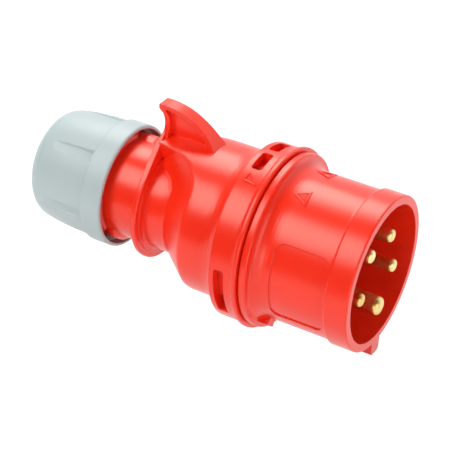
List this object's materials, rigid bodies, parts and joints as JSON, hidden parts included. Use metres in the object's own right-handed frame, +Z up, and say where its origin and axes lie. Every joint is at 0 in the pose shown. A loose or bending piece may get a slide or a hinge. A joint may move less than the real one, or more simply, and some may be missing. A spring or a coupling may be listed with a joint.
{
  "type": "industrial pin and sleeve plug",
  "caption": "Round shrouded industrial power plug with contact pins in a sleeve, a twist-on rear housing with a hook, and a cable gland nut.",
  "frame": {"origin": "centre of the mouth, where the plug meets its mating connector", "axes": "+X out of the mouth, the mating direction; +Z up towards the hook"},
  "size_m": [0.1375, 0.0662, 0.0719],
  "materials": {
    "red_plastic": "satin moulded polyamide",
    "grey_plastic": "fine matt",
    "black_plastic": "matt",
    "white_plastic": "smooth",
    "rubber": "matt",
    "brass": "turned, bright",
    "steel": "zinc-plated"
  },
  "bodies": {
    "front": {"front_shroud": "red_plastic", "joint_seal": "rubber", "pin_carrier": "black_plastic", "carrier_cap": "black_plastic", "cap_screw": "steel", "earth_pin": "brass", "line_pin_1": "brass", "line_pin_2": "brass", "line_pin_3": "brass", "neutral_pin": "brass", "terminal_screws": "steel", "wire_guards": "steel"},
    "rear": {"rear_housing": "red_plastic", "gland_seal": "rubber"},
    "cage": {"clamp_cage": "grey_plastic", "slip_washer": "white_plastic"},
    "nut": {"gland_nut": "grey_plastic"}
  },
  "joints": [
    {"name": "housing_twist", "type": "hinge", "parent": "front", "child": "rear", "pos_m": [-0.046, 0, 0], "axis": [1, 0, 0], "range_deg": [0, 40]},
    {"name": "gland_travel", "type": "slide", "parent": "rear", "child": "cage", "axis": [1, 0, 0], "range_m": [0, 0.007]},
    {"name": "nut_turn", "type": "hinge", "parent": "cage", "child": "nut", "pos_m": [-0.112, 0, 0], "axis": [1, 0, 0], "range_deg": [0, 630]}
  ],
  "couplings": [
    {"joint": "gland_travel", "follows": "nut_turn", "m_per_rad": 0.0006366}
  ]
}
